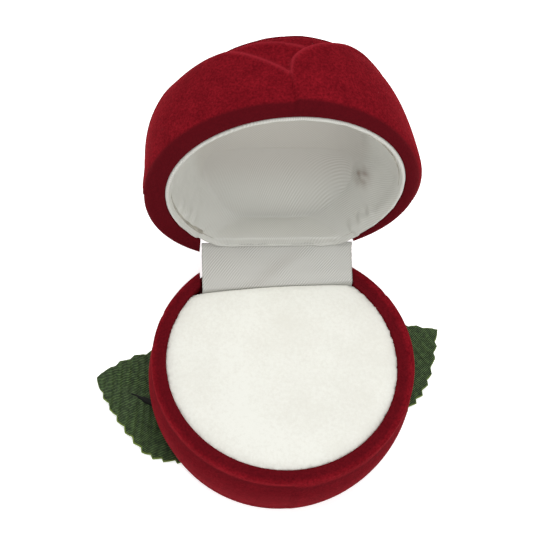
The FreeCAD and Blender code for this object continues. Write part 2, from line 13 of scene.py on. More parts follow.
import bmesh
import bpy
from mathutils import Matrix, Vector, noise
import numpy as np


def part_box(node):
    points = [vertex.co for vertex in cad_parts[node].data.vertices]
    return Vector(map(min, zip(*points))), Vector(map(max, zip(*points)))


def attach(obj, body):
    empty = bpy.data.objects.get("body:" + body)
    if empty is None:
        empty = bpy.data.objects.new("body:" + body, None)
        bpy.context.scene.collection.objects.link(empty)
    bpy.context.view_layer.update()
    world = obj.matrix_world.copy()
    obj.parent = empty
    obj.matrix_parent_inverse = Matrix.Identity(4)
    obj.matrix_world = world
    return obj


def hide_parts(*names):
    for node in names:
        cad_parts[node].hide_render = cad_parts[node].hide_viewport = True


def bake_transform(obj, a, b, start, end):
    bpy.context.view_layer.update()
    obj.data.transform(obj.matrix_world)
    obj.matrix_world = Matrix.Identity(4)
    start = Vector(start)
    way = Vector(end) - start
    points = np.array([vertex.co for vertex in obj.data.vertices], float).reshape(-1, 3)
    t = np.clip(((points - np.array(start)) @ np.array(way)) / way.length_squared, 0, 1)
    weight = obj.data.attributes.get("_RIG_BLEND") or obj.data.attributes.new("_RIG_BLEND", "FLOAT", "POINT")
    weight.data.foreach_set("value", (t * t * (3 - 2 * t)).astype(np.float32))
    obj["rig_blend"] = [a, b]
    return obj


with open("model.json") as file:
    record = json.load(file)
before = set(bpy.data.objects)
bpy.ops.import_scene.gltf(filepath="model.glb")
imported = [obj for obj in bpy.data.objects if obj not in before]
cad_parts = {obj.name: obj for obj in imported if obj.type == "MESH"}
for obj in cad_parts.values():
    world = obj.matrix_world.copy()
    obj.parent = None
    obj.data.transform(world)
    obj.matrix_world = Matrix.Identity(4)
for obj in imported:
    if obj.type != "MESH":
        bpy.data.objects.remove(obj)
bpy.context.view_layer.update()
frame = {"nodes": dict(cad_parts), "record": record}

LOG = logging.getLogger("ring_box")
MM = 0.001
JOINT = frame["record"]["behaviour"]["joints"][0]
HINGE = Vector(JOINT["pos_m"])
OPEN_ANGLE = math.radians(JOINT["range_deg"][1])
RIM_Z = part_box("base_shell")[1][2]
LID_Z = 2 * HINGE.z - RIM_Z
GAP_HALF = 14.8 * MM           # half the width of the hinge gap in both shells
GAP_FRONT = 15.5 * MM
GAP_BACK = 40 * MM
GAP_DEEP = 3.6 * MM            # how far the gap goes down, or up, from the parting plane
GAP_OVER = 0.01                # how far its block passes the rim, so that nothing is left there


# ---------------------------------------------------------------- small tools
def srgb(code: str) -> tuple[float, float, float, float]:
    """Turn a sRGB hex colour into linear RGBA.

    Args:
        code: Six hex digits.

    Returns:
        Linear red, green, blue and an alpha of 1.
    """
    parts = [int(code[i:i + 2], 16) / 255 for i in (0, 2, 4)]
    line = [c / 12.92 if c <= 0.04045 else ((c + 0.055) / 1.055) ** 2.4 for c in parts]
    return line[0], line[1], line[2], 1.0


def smooth(low: float, high: float, value: float) -> float:
    """Make a smooth step.

    Args:
        low: Value where the step starts.
        high: Value where it ends; below low for a step down.
        value: Where to read it.

    Returns:
        A number that goes from 0 at low to 1 at high.
    """
    share = min(max((value - low) / (high - low), 0.0), 1.0)
    return share * share * (3 - 2 * share)


def bell(value: float, centre: float, width: float) -> float:
    """Return a bell curve of height 1 at a centre."""
    return math.exp(-((value - centre) / width) ** 2)


def through(points: list[tuple[float, float]], step: float) -> list[tuple[float, float]]:
    """Run a smooth curve through a few points at an even spacing.

    Args:
        points: The points that the curve passes, in millimetres.
        step: Distance between two points of the result, in millimetres.

    Returns:
        Points on a Catmull-Rom curve, in millimetres.
    """
    result = []
    for index in range(len(points) - 1):
        p1, p2 = Vector(points[index]), Vector(points[index + 1])
        p0 = Vector(points[index - 1]) if index else 2 * p1 - p2
        p3 = Vector(points[index + 2]) if index + 2 < len(points) else 2 * p2 - p1
        count = max(1, round((p2 - p1).length / step))
        for k in range(count):
            t = k / count
            at = 0.5 * (2 * p1 + (p2 - p0) * t + (2 * p0 - 5 * p1 + 4 * p2 - p3) * t ** 2
                        + (3 * p1 - p0 - 3 * p2 + p3) * t ** 3)
            result.append((at.x, at.y))
    return result + [points[-1]]


def turned(profile: list[tuple[float, float]], steps: int) -> bmesh.types.BMesh:
    """Spin a profile of (radius, height) in millimetres about Z into a closed skin.

    Args:
        profile: Points in order; those on the axis become poles.
        steps: Number of steps round.

    Returns:
        A bmesh in metres.
    """
    mesh = bmesh.new()
    line = [mesh.verts.new((r * MM, 0.0, z * MM)) for r, z in profile]
    edges = [mesh.edges.new(pair) for pair in zip(line, line[1:])]
    bmesh.ops.spin(mesh, geom=line + edges, cent=(0, 0, 0), axis=(0, 0, 1), angle=2 * math.pi,
                   steps=steps, use_merge=True, use_duplicate=False)
    bmesh.ops.remove_doubles(mesh, verts=mesh.verts, dist=1e-6)
    return mesh


def to_object(name: str, mesh: bmesh.types.BMesh, outward: bool = True) -> bpy.types.Object:
    """Put a bmesh into a new smooth-shaded object at the origin.

    Args:
        name: The object's and the mesh's name.
        mesh: The bmesh, which is freed.
        outward: Whether to turn its faces outwards first.

    Returns:
        The object, linked to the scene.
    """
    if outward:
        bmesh.ops.recalc_face_normals(mesh, faces=mesh.faces)
    data = bpy.data.meshes.new(name)
    mesh.to_mesh(data)
    mesh.free()
    data.shade_smooth()
    piece = bpy.data.objects.new(name, data)
    bpy.context.collection.objects.link(piece)
    return piece


def applied(piece: bpy.types.Object) -> None:
    """Make a piece's modifiers part of its mesh.

    Args:
        piece: The object whose modifiers are applied.
    """
    graph = bpy.context.evaluated_depsgraph_get()
    done = bpy.data.meshes.new_from_object(piece.evaluated_get(graph))
    piece.modifiers.clear()
    piece.data = done
    done.name = piece.name


def carve(piece: bpy.types.Object, cutter: bpy.types.Object) -> None:
    """Cut one closed mesh out of another.

    Args:
        piece: The object that is cut.
        cutter: The object that is taken away, and deleted.
    """
    change = piece.modifiers.new("notch", "BOOLEAN")
    change.operation, change.solver, change.object = "DIFFERENCE", "MANIFOLD", cutter
    applied(piece)
    bpy.data.objects.remove(cutter, do_unlink=True)


def hinge_gap(front: float, foot: float, top: float) -> bpy.types.Object:
    """Make the block that leaves room for the hinge at the back of a shell.

    Args:
        front: Its front face, in metres along Y.
        foot: Its lower face, in metres up.
        top: Its upper face, in metres up.

    Returns:
        The block, as wide as the hinge gap.
    """
    low, high = Vector((-GAP_HALF, front, foot)), Vector((GAP_HALF, GAP_BACK, top))
    mesh = bmesh.new()
    bmesh.ops.create_cube(mesh, size=1.0)
    bmesh.ops.scale(mesh, vec=high - low, verts=mesh.verts)
    bmesh.ops.translate(mesh, vec=(high + low) / 2, verts=mesh.verts)
    return to_object("hinge_gap", mesh)


def open_up(piece: bpy.types.Object) -> None:
    """Turn a mesh drawn on the shut lid back about the hinge axis.

    Args:
        piece: The object whose mesh is turned.
    """
    turn = (Matrix.Translation(HINGE) @ Matrix.Rotation(-OPEN_ANGLE, 4, "X")
            @ Matrix.Translation(-HINGE))
    piece.data.transform(turn)


def thicken(piece: bpy.types.Object, thickness: float, offset: float = 0.0) -> None:
    """Give a skin its thickness.

    Args:
        piece: The object that holds the skin.
        thickness: Thickness in metres.
        offset: -1 for all of it behind the faces, 0 for half on each side.
    """
    change = piece.modifiers.new("thickness", "SOLIDIFY")
    change.thickness, change.offset = thickness, offset
    change.use_quality_normals = True
    applied(piece)


# ---------------------------------------------------------------- finishes
@dataclass
class Net:
    """A material's node tree, with one call that adds a node."""

    name: str
    material: bpy.types.Material = field(init=False)

    def __post_init__(self) -> None:
        """Start an empty node material."""
        self.material = bpy.data.materials.new(self.name)
        self.material.use_nodes = True
        self.material.node_tree.nodes.clear()

    def add(self, kind: str, links: dict[str | int, object] | None = None,
            stops: list[tuple[float, tuple]] | None = None, **settings: object) -> bpy.types.Node:
        """Add a node with its settings, input values and links.

        Args:
            kind: The node's type name without the ShaderNode prefix.
            links: Input name or index to a value, a node's output socket, or a node.
            stops: Places and colours, for a node that has a band of them.
            **settings: Properties of the node itself.

        Returns:
            The new node.
        """
        tree = self.material.node_tree
        node = tree.nodes.new(f"ShaderNode{kind}")
        for key, value in settings.items():
            setattr(node, key, value)
        for key, value in (links or {}).items():
            socket = node.inputs[key]
            if isinstance(value, bpy.types.Node):
                tree.links.new(value.outputs[0], socket)
            elif isinstance(value, bpy.types.NodeSocket):
                tree.links.new(value, socket)
            else:
                socket.default_value = value
        for index, (place, colour) in enumerate(stops or []):
            band = node.color_ramp.elements
            element = band[index] if index < len(band) else band.new(place)
            element.position, element.color = place, colour
        return node

    def close(self, shader: bpy.types.Node) -> bpy.types.Material:
        """Join a shader to the output.

        Args:
            shader: The node that makes the surface.

        Returns:
            The finished material.
        """
        self.add("OutputMaterial", {"Surface": shader})
        return self.material


@dataclass(frozen=True)
class Flock:
    """Short nylon pile glued to moulded plastic: deep matt red that lightens where seen edge on, with a painted
    highlight along the petals' free edges and painted shade on the rims, the groove and the base's wall.
    """

    name: str = "flocked_nylon_red"
    deep: str = "5C0A13"
    light: str = "80151F"
    # painted highlight along the petals' free edges
    edge: str = "9C2833"
    flat: str = "4A0C13"       # painted shade on the rims, in the groove and on the wall below it
    clump_mm: float = 1.3      # patches where the pile leans together
    fibre_mm: float = 0.22     # fibre tufts, coarser than single fibres so that they show

    def make(self) -> bpy.types.Material:
        """Return the material."""
        net = Net(self.name)
        place = net.add("TexCoord").outputs["Object"]
        clump = net.add("TexNoise", {"Vector": place, "Scale": 1 / (self.clump_mm * MM * 2.5),
                                     "Detail": 3.0, "Roughness": 0.6})
        fibre = net.add("TexNoise", {"Vector": place, "Scale": 1 / (self.fibre_mm * MM * 2.0),
                                     "Detail": 2.0, "Roughness": 0.7})
        soft = net.add("Math", {0: clump, 1: 0.4, 2: 0.3}, operation="MULTIPLY_ADD")
        both = net.add("Math", {0: soft, 1: fibre}, operation="MULTIPLY")
        pile = net.add("ValToRGB", {0: both}, stops=[(0.16, srgb(self.deep)), (0.36, srgb(self.light))])
        # painted highlight along the petals' free edges
        lip = net.add("Attribute", attribute_name="lip")
        edge_highlight = net.add("Mix", {"Factor": lip.outputs["Fac"], "A": pile.outputs[0],
                                 "B": srgb(self.edge)}, data_type="RGBA")
        # painted shade on the rims, in the groove and on the base's wall below it
        painted_shade = net.add("Attribute", attribute_name="pressed")
        tint = net.add("Mix", {"Factor": painted_shade.outputs["Fac"], "A": edge_highlight.outputs["Result"],
                               "B": srgb(self.flat)}, data_type="RGBA")
        bump = net.add("Bump", {"Height": fibre, "Strength": 0.6, "Distance": 0.16 * MM})
        bump2 = net.add("Bump", {"Height": clump, "Strength": 0.25, "Distance": 0.25 * MM,
                                 "Normal": bump})
        return net.close(net.add("BsdfPrincipled", {
            "Base Color": tint.outputs["Result"], "Roughness": 1.0, "Specular IOR Level": 0.02,
            "Sheen Weight": 0.26, "Sheen Roughness": 0.35, "Sheen Tint": srgb("D01C2C"),
            "Normal": bump2}))


@dataclass(frozen=True)
class Velvet:
    """White cotton velvet: warm white, with a fine broken nap and soft shading where it leans."""

    name: str = "cotton_velvet_white"
    deep: str = "DDDCD3"
    light: str = "E5E5DD"
    nap_mm: float = 0.34
    lean_mm: float = 5.0

    def make(self) -> bpy.types.Material:
        """Return the material."""
        net = Net(self.name)
        place = net.add("TexCoord").outputs["Object"]
        lean = net.add("TexNoise", {"Vector": place, "Scale": 1 / (self.lean_mm * MM * 2.5),
                                    "Detail": 2.0, "Roughness": 0.5})
        nap = net.add("TexNoise", {"Vector": place, "Scale": 1 / (self.nap_mm * MM * 2.0),
                                   "Detail": 3.0, "Roughness": 0.75})
        mixed = net.add("Math", {0: lean, 1: nap}, operation="MULTIPLY")
        tone = net.add("ValToRGB", {0: mixed}, stops=[(0.14, srgb(self.deep)), (0.32, srgb(self.light))])
        bump = net.add("Bump", {"Height": nap, "Strength": 0.35, "Distance": 0.12 * MM})
        return net.close(net.add("BsdfPrincipled", {
            "Base Color": tone.outputs[0], "Roughness": 1.0, "Specular IOR Level": 0.05,
            "Sheen Weight": 0.12, "Sheen Roughness": 0.4, "Normal": bump}))


@dataclass(frozen=True)
class Satin:
    """Acetate satin in a steep twill: soft broken highlights along fine slanting ribs."""

    name: str = "acetate_satin_white"
    base: str = "C6C6C1"
    shade: str = "A1A099"
    # brown-grey for painted shade, and for a brownish patch at a dent
    shade_and_patch_tone: str = "8A7C72"
    rib_mm: float = 0.42       # twill line spacing
    slant: float = 50.0        # degrees from the width of the cloth
    gloss: float = 0.40

    def make(self) -> bpy.types.Material:
        """Return the material."""
        net = Net(self.name)
        cloth = net.add("TexCoord").outputs["UV"]
        turn = net.add("Mapping", {"Vector": cloth, "Rotation": (0, 0, math.radians(90 - self.slant))})
        wave = net.add("TexWave", {"Vector": turn, "Scale": math.pi / 10 / self.rib_mm,
                                   "Distortion": 0.7, "Detail": 2.0, "Detail Scale": 0.4},
                       wave_type="BANDS", bands_direction="X")
        patch = net.add("TexNoise", {"Vector": cloth, "Scale": 0.22, "Detail": 2.0})
        gate = net.add("ValToRGB", {0: patch}, stops=[(0.40, (0.25, 0.25, 0.25, 1)), (0.60, (1, 1, 1, 1))])
        centred = net.add("Math", {0: wave, 1: 0.5}, operation="SUBTRACT")
        lines = net.add("Math", {0: centred, 1: gate, 2: 0.5}, operation="MULTIPLY_ADD")
        tone = net.add("ValToRGB", {0: lines}, stops=[(0.0, srgb(self.shade)), (1.0, srgb(self.base))])
        # painted shade, and a brownish patch, mixed in towards the brown-grey
        shade_and_patch = net.add("Attribute", attribute_name="shade_and_patch")
        shade_and_patch_mix = net.add("Mix", {"Factor": shade_and_patch.outputs["Fac"], "A": tone.outputs[0],
                               "B": srgb(self.shade_and_patch_tone)}, data_type="RGBA")
        bump = net.add("Bump", {"Height": lines, "Strength": 0.3, "Distance": 0.05 * MM})
        return net.close(net.add("BsdfPrincipled", {
            "Base Color": shade_and_patch_mix.outputs["Result"], "Roughness": self.gloss, "Specular IOR Level": 0.30,
            "Sheen Weight": 0.10, "Sheen Roughness": 0.3, "Anisotropic": 0.4, "Normal": bump}))


@dataclass(frozen=True)
class LeafCloth:
    """Starched ribbed cloth, dyed green: fine pale ribs, paler on the pleats, with a pale cut edge."""

    name: str = "starched_rib_cloth_green"
    dark: str = "0E180A"
    mid: str = "24371A"
    light: str = "5F7B47"
    raw: str = "6E8238"
    rib_mm: float = 0.33

    def make(self) -> bpy.types.Material:
        """Return the material."""
        net = Net(self.name)
        cloth = net.add("TexCoord").outputs["UV"]
        turn = net.add("Mapping", {"Vector": cloth, "Rotation": (0, 0, math.radians(-5))})
        wave = net.add("TexWave", {"Vector": turn, "Scale": math.pi / 10 / self.rib_mm,
                                   "Distortion": 1.0, "Detail": 2.0, "Detail Scale": 0.5},
                       wave_type="BANDS", bands_direction="Y")
        weft = net.add("TexNoise", {"Vector": cloth, "Scale": 1.1, "Detail": 3.0, "Roughness": 0.7})
        vein = net.add("Attribute", attribute_name="vein")
        lines = net.add("Math", {0: wave, 1: weft}, operation="MULTIPLY")
        pressed = net.add("Math", {0: vein.outputs["Fac"], 1: 0.10, 2: lines}, operation="MULTIPLY_ADD")
        shade = net.add("Math", {0: pressed, 1: 0.12}, operation="SUBTRACT")
        tone = net.add("ValToRGB", {0: shade}, stops=[
            (0.0, srgb(self.dark)), (0.16, srgb(self.mid)), (0.52, srgb(self.light))])
        cut = net.add("Attribute", attribute_name="cut")
        edge = net.add("Mix", {"Factor": cut.outputs["Fac"], "A": tone.outputs[0],
                               "B": srgb(self.raw)}, data_type="RGBA")
        bump = net.add("Bump", {"Height": wave, "Strength": 0.6, "Distance": 0.12 * MM})
        return net.close(net.add("BsdfPrincipled", {
            "Base Color": edge.outputs["Result"], "Roughness": 0.6, "Specular IOR Level": 0.25,
            "Normal": bump}))


@dataclass(frozen=True)
class Paper:
    """White paper sweep that glows a little, as a lit background does."""

    name: str = "paper_sweep_white"
    tone: str = "FCFCFC"

    def make(self) -> bpy.types.Material:
        """Return the material."""
        net = Net(self.name)
        return net.close(net.add("BsdfPrincipled", {
            "Base Color": srgb(self.tone), "Roughness": 1.0, "Specular IOR Level": 0.0,
            "Emission Color": srgb("FFFFFF"), "Emission Strength": 0.62}))


@dataclass(frozen=True)
class Plain:
    """A hidden or small finish with a fine grain: card, foam, wire coat or plated steel."""

    name: str
    dark: str
    light: str
    grain_mm: float
    roughness: float
    metal: float = 0.0
    stretch: tuple[float, float, float] = (1.0, 1.0, 1.0)
    relief_mm: float = 0.03

    def make(self) -> bpy.types.Material:
        """Return the material."""
        net = Net(self.name)
        place = net.add("TexCoord").outputs["Object"]
        scaled = net.add("Mapping", {"Vector": place, "Scale": self.stretch})
        grain = net.add("TexNoise", {"Vector": scaled, "Scale": 1 / (self.grain_mm * MM * 2.5),
                                     "Detail": 4.0, "Roughness": 0.65})
        tone = net.add("ValToRGB", {0: grain}, stops=[(0.3, srgb(self.dark)), (0.7, srgb(self.light))])
        bump = net.add("Bump", {"Height": grain, "Strength": 0.3, "Distance": self.relief_mm * MM})
        return net.close(net.add("BsdfPrincipled", {
            "Base Color": tone.outputs[0], "Roughness": self.roughness, "Metallic": self.metal,
            "Normal": bump}))


class Stock(Enum):
    """The plain finishes of the small and hidden pieces."""

    STEEL = Plain("nickel_plated_steel_brushed", "8C8C8A", "B8B8B5", 0.25, 0.32, 1.0, (0.08, 1, 1), 0.01)
    CARD = Plain("pressed_grey_board", "8F8B80", "B5B1A6", 0.6, 0.9)
    FOOT = Plain("flocked_card_black", "101010", "262524", 0.25, 1.0)
    FOAM = Plain("open_cell_foam_cream", "CFCBB8", "F0EDDF", 0.5, 0.95, relief_mm=0.25)
    WIRE = Plain("coated_wire_dark_green", "050704", "0B100A", 0.8, 0.9)


def dress(piece: bpy.types.Object, material: bpy.types.Material) -> None:
    """Give a piece one material all over.

    Args:
        piece: The object to dress.
        material: The finish.
    """
    if not piece.data.materials:
        piece.data.materials.append(material)
    for spot in piece.material_slots:
        spot.material = material


# ---------------------------------------------------------------- petals
@dataclass
class PetalRing:
    """One ring of three lapped petals round the bud; each laps over the last edge of the one before."""

    seams: tuple[float, float, float]          # degrees round the bud, the front seam first
    slant: float = 0.0         # degrees that a seam turns by the time it reaches the notch
    valley: float = 7.5        # mm from the parting plane to where two petals part
    peak: float = 18.5         # mm to the highest point of a petal's free edge
    proud: float = 0.20        # mm that a first edge stands out, and a last edge lies in
    front_proud: float = 0.28  # mm more of both at the front seam
    lip: float = 0.12          # mm that an edge curls outwards
    front_peak: float = 2.0    # mm more of peak on the wide petal, which goes halfway round
    front_span: float = 45.0   # degrees round the front seam where its lap is stronger
    wide_span: float = 150.0   # degrees past which a petal counts as the wide one
    powers: tuple[float, float] = (0.45, 0.9)  # wide petal, others: lower for a squarer free edge
    steepest: float = 6.0      # largest slope of a free edge that is reckoned with
    seam_width: float = 0.7    # mm over which one petal steps up to the next

    def place(self, angle: float, height: float = 0.0) -> tuple[float, float]:
        """Find a direction on its petal.

        Args:
            angle: Direction round the bud in radians.
            height: Distance from the parting plane in millimetres.

        Returns:
            The share of the petal's span from its first edge, and the span in radians.
        """
        turn = self.slant * min(height / self.valley, 1.5)
        since = [(math.degrees(angle) - seam - turn) % 360 for seam in self.seams]
        nearest = min(since)
        following = self.seams[(since.index(nearest) + 1) % len(self.seams)]
        span = (following - self.seams[since.index(nearest)]) % 360
        return nearest / span, math.radians(span)

    def swell(self, angle: float, radius: float, height: float) -> float:
        """Return how far the ring's surface stands out, from the lapping of its petals.

        Args:
            angle: Direction round the bud in radians.
            radius: Distance from the axis in millimetres.
            height: Distance from the parting plane in millimetres.

        Returns:
            The outward offset in millimetres.
        """
        share, span = self.place(angle, height)
        arc = span * radius
        facing = (math.degrees(angle) - self.seams[0] + 180) % 360 - 180
        proud = self.proud + self.front_proud * bell(facing, 0.0, self.front_span)
        before = proud * math.cos(math.pi * share)
        late = smooth(self.seam_width / 2, 0.0, (1 - share) * arc) * 0.5
        early = 0.5 + smooth(0.0, self.seam_width / 2, share * arc) * 0.5
        if share > 0.5:
            return before + 2 * proud * late
        return -proud + (before + proud) * early + self.lip * bell(share * arc, 0.8, 0.8)

    def edge(self, angle: float, height: float) -> float:
        """Return the height of the free edge in a direction, in millimetres.

        Args:
            angle: Direction round the bud in radians.
            height: Distance from the parting plane in millimetres.

        Returns:
            The height, steep beside the front seam on its lapping side.
        """
        share, span = self.place(angle, height)
        wide = span > math.radians(self.wide_span)
        peak = self.peak + (self.front_peak if wide else 0.0)
        power = self.powers[0] if wide else self.powers[1]
        return self.valley + (peak - self.valley) * math.sin(math.pi * share) ** power

    def below(self, angle: float, radius: float, height: float) -> float:
        """Return how far a point lies below the petal's free edge, square to that edge.

        Args:
            angle: Direction round the bud in radians.
            radius: Distance from the axis in millimetres.
            height: Distance from the parting plane in millimetres.

        Returns:
            The distance in millimetres, negative above the edge.
        """
        step = 0.01
        rise = self.edge(angle + step, height) - self.edge(angle - step, height)
        slope = min(abs(rise) / (2 * step * radius), self.steepest)
        return (self.edge(angle, height) - height) / math.sqrt(1 + slope * slope)

    def seam_tint(self, angle: float, radius: float, height: float) -> float:
        """Return how much a point belongs to a petal's lapping side edge.

        Args:
            angle: Direction round the bud in radians.
            radius: Distance from the axis in millimetres.
            height: Distance from the parting plane in millimetres.

        Returns:
            A number from 0 to 1.
        """
        share, span = self.place(angle, height)
        return bell(share * span * radius, 0.5, 0.6)


@dataclass
class Wobble:
    """A slow wave round the bud: the moulding is not quite round."""

    terms: tuple[tuple[float, float], ...]     # millimetres on cosine and sine of 1, 2, 3 turns

    def at(self, angle: float) -> float:
        """Find the offset in a direction.

        Args:
            angle: Direction round the bud in radians.

        Returns:
            The outward offset in millimetres.
        """
        return sum(c * math.cos(k * angle) + d * math.sin(k * angle)
                   for k, (c, d) in enumerate(self.terms, start=1))


def point_attribute(data: bpy.types.Mesh, name: str, values: list[float]) -> None:
    """Store one number on each point of a mesh."""
    data.attributes.new(name, "FLOAT", "POINT").data.foreach_set("value", values)


def rim_arc(rim: float, up: float, flat: float, edge: float) -> list[tuple[float, float]]:
    """Return a shell's rim in section, from the mouth over the flat to the outer wall.

    Args:
        rim: Height of the parting plane in millimetres.
        up: -1 where the wall goes down from the rim, 1 where it goes up.
        flat: Radius where the flat ends.
        edge: Radius of the wall below the rounded edge.

    Returns:
        Points of radius and height in millimetres.
    """
    return through([(21.8, rim + up * 1.1), (21.83, rim + up * 0.4), (22.1, rim + up * 0.05),
                    (22.6, rim), (flat, rim + up * 0.02), (flat + 0.64 * (edge - flat), rim + up * 0.36),
                    (edge - 0.06, rim + up * 1.0), (edge, rim + up * 1.7)], 0.2)


@dataclass
class BaseShell:
    """The lower half of the bud."""

    steps: int = 384
    ring: PetalRing = field(default_factory=lambda: PetalRing(seams=(-87.0, 33.0, 153.0), proud=0.04,
                                                              front_proud=0.24, lip=0.0))
    wobble: Wobble = field(default_factory=lambda: Wobble(((0.40, 0.40), (0.20, 0.12), (0.0, 0.1))))

    def profile(self) -> list[tuple[float, float]]:
        """Return the section, from the middle of the inner floor round to the middle of the foot."""
        rim = RIM_Z / MM
        inside = [(0.0, 3.4), (8.0, 3.4), (16.4, 3.4), (20.8, 5.5), (22.7, 9.9), (22.7, rim - 1.6),
                  (21.8, rim - 1.6)]
        mouth = rim_arc(rim, -1.0, 22.9, 24.7)
        wall = through([(24.7, rim - 1.7), (24.68, rim - 2.5), (24.58, rim - 3.4), (24.78, rim - 4.9),
                        (25.1, rim - 7.4), (24.9, rim - 11.0), (24.1, 7.3), (22.5, 3.6), (20.6, 1.9),
                        (18.5, 1.5)], 0.45)
        return inside + mouth[:-1] + wall + [(12.0, 1.5), (6.0, 1.5), (0.0, 1.5)]

    def pressed(self, point: Vector) -> float:
        """Find how much painted shade the pile gets: on the rim, in the groove, and on the wall below it.

        Args:
            point: A point of the shell in millimetres.

        Returns:
            A number from 0 to 1.
        """
        radius, down = math.hypot(point.x, point.y), RIM_Z / MM - point.z
        rim = 0.60 * smooth(24.3, 23.4, radius) * smooth(1.2, 0.5, down)
        return max(rim, 0.45 * smooth(2.2, 3.6, down) + 0.25 * bell(down, 3.6, 0.8))

    def build(self) -> bpy.types.Object:
        """Return the shell with its petals and the hinge notch."""
        mesh = turned(self.profile(), self.steps)
        for vert in mesh.verts:
            radius = math.hypot(vert.co.x, vert.co.y) / MM
            if radius < 21.9 or vert.co.z < 1.6 * MM:
                continue
            angle = math.atan2(vert.co.y, vert.co.x)
            height = (RIM_Z - vert.co.z) / MM
            away = smooth(22.6, 24.5, radius)
            out = self.wobble.at(angle) * away
            out += self.ring.swell(angle, radius, 0.0) * away * smooth(0.8, 4.0, height)
            out -= 0.10 * self.ring.seam_tint(angle, radius, 0.0) * smooth(14, 8, height) * away
            vert.co.x *= 1 + out / radius
            vert.co.y *= 1 + out / radius
        shell = to_object("base_flock", mesh)
        carve(shell, hinge_gap(GAP_FRONT, RIM_Z - GAP_DEEP, RIM_Z + GAP_OVER))
        # painted shade on the rim, in the groove and on the wall below it
        point_attribute(shell.data, "pressed", [self.pressed(v.co / MM) for v in shell.data.vertices])
        return shell


@dataclass
class LidBud:
    """The upper half of the bud, with its nested petals."""

    steps: int = 560
    radius: float = 25.0
    height: float = 23.9
    belly: float = 3.4         # mm from the parting plane to the widest part
    boxy: float = 2.9          # power of the oval section above the belly
    rim_edge: float = 24.3
    outer: PetalRing = field(default_factory=lambda: PetalRing(
        seams=(-90.0, 80.0, 175.0), slant=-1.8, valley=8.1, proud=0.08, front_proud=0.36, lip=0.06))
    inner: PetalRing = field(default_factory=lambda: PetalRing(
        seams=(-70.0, 50.0, 170.0), valley=12.4, peak=17.2, proud=0.15, front_proud=0.0))
    layer: float = 0.7         # mm that an inner ring lies under the free edge outside it
    at_rim: Wobble = field(default_factory=lambda: Wobble(((-0.8, 0.18), (0.5, -0.6), (0.4, 0.5))))
    at_belly: Wobble = field(default_factory=lambda: Wobble(((0.42, 0.26), (-0.13, 1.0), (-0.8, 0.24))))
    bulge: float = 1.3         # mm that the right side swells out
    crest: float = 1.0         # mm that the heart stands out over the front petals

    def radius_at(self, height: float) -> float:
        """Find the radius of the round bud, before its petals are shaped.

        Args:
            height: Distance above the parting plane in millimetres.

        Returns:
            The radius in millimetres.
        """
        if height < self.belly:
            swell = math.sin(math.pi / 2 * height / self.belly)
            return self.rim_edge + (self.radius - self.rim_edge) * swell
        share = min((height - self.belly) / (self.height - self.belly), 1.0)
        return self.radius * (1 - share ** self.boxy) ** (1 / self.boxy)

    def outside(self) -> list[tuple[float, float]]:
        """Return the bud's outer section above the parting plane, from rim to pole."""
        low, rows = LID_Z / MM, 112
        rim = rim_arc(low, 1.0, 23.5, self.radius_at(1.7))
        start = math.asin(1.7 / self.height)
        bends = [start + (math.pi / 2 - start) * k / rows for k in range(rows + 1)]
        wall = [(self.radius_at(self.height * math.sin(b)), low + self.height * math.sin(b)) for b in bends]
        return rim[:-1] + wall[:-1] + [(0.0, low + self.height)]

    def build(self) -> bpy.types.Object:
        """Return the lid's shell, open."""
        low = LID_Z / MM
        inside = [(0.0, low + 19.6), (9.0, low + 19.4), (13.0, low + 18.4), (19.0, low + 13.8),
                  (22.3, low + 8.6), (22.4, low + 1.6), (21.8, low + 1.6)]
        mesh = turned(inside + self.outside(), self.steps)
        # painted highlight along the petals' free edges, and painted shade on the rim band
        for name in ("lip", "pressed"):
            mesh.verts.layers.float.new(name)
        layers = mesh.verts.layers.float["lip"], mesh.verts.layers.float["pressed"]
        for vert in mesh.verts:
            radius = math.hypot(vert.co.x, vert.co.y) / MM
            height = vert.co.z / MM - low
            if radius > 0.01 and self.is_skin(radius, height):
                self.shape(vert, layers, radius, height)
        bud = to_object("lid_flock", mesh)
        carve(bud, hinge_gap(GAP_FRONT, LID_Z - GAP_OVER, LID_Z + GAP_DEEP))
        open_up(bud)
        return bud

    def is_skin(self, radius: float, height: float) -> bool:
        """Say whether a point of the round shell lies on its outside or rim, not on its inner wall."""
        return height < 1.5 or height > 19.8 or self.radius_at(height) - radius < 1.0

    def shape(self, vert: bmesh.types.BMVert, layers: tuple[bmesh.types.BMLayerItem, ...],
              radius: float, height: float) -> None:
        """Move one point of the outer skin to its petal and store its painted highlight and painted shade.

        Args:
            vert: The point.
            layers: Where the painted highlight of an edge and the painted shade of the rim band are kept.
            radius: The point's distance from the axis in millimetres.
            height: Its distance from the parting plane in millimetres.
        """
        angle = math.atan2(vert.co.y, vert.co.x)
        by_rim = math.exp(-(height / 5.0) ** 2)
        narrow = -1.1 * bell(math.degrees(angle), 2.0, 32.0) * math.exp(-(height / 2.2) ** 2)
        away = smooth(22.0, 23.6, radius) if height < 1.7 else 1.0
        wobble = (self.at_rim.at(angle) + narrow) * by_rim + self.at_belly.at(angle) * (1 - by_rim)
        wobble += self.bulge * bell(math.degrees(angle), 16.0, 30.0) * bell(height, 6.0, 7.5)
        wobble += self.crest * bell(math.degrees(angle), -97.0, 32.0) * bell(height, 17.0, 4.0)
        out, tint = self.petals(angle, radius, height)
        fall = min(radius / 22.0, 1.0)
        sideways = (wobble * fall + out) * away
        lean = smooth(17.0, 22.5, height)
        vert.co.x *= 1 + sideways * (1 - 0.7 * lean) / radius
        vert.co.y *= 1 + sideways * (1 - 0.7 * lean) / radius
        vert.co.z += 0.8 * lean * out * MM * smooth(0.0, 1.5, radius)
        mouth = 0.35 * math.cos(2 * (angle + math.radians(48))) * smooth(22.9, 22.0, radius)
        vert.co.x *= 1 + mouth / radius
        vert.co.y *= 1 + mouth / radius
        # painted highlight along the free edges; painted shade on the rim band up to 2 mm high
        vert[layers[0]] = tint
        vert[layers[1]] = 0.85 * smooth(2.1, 1.2, height)

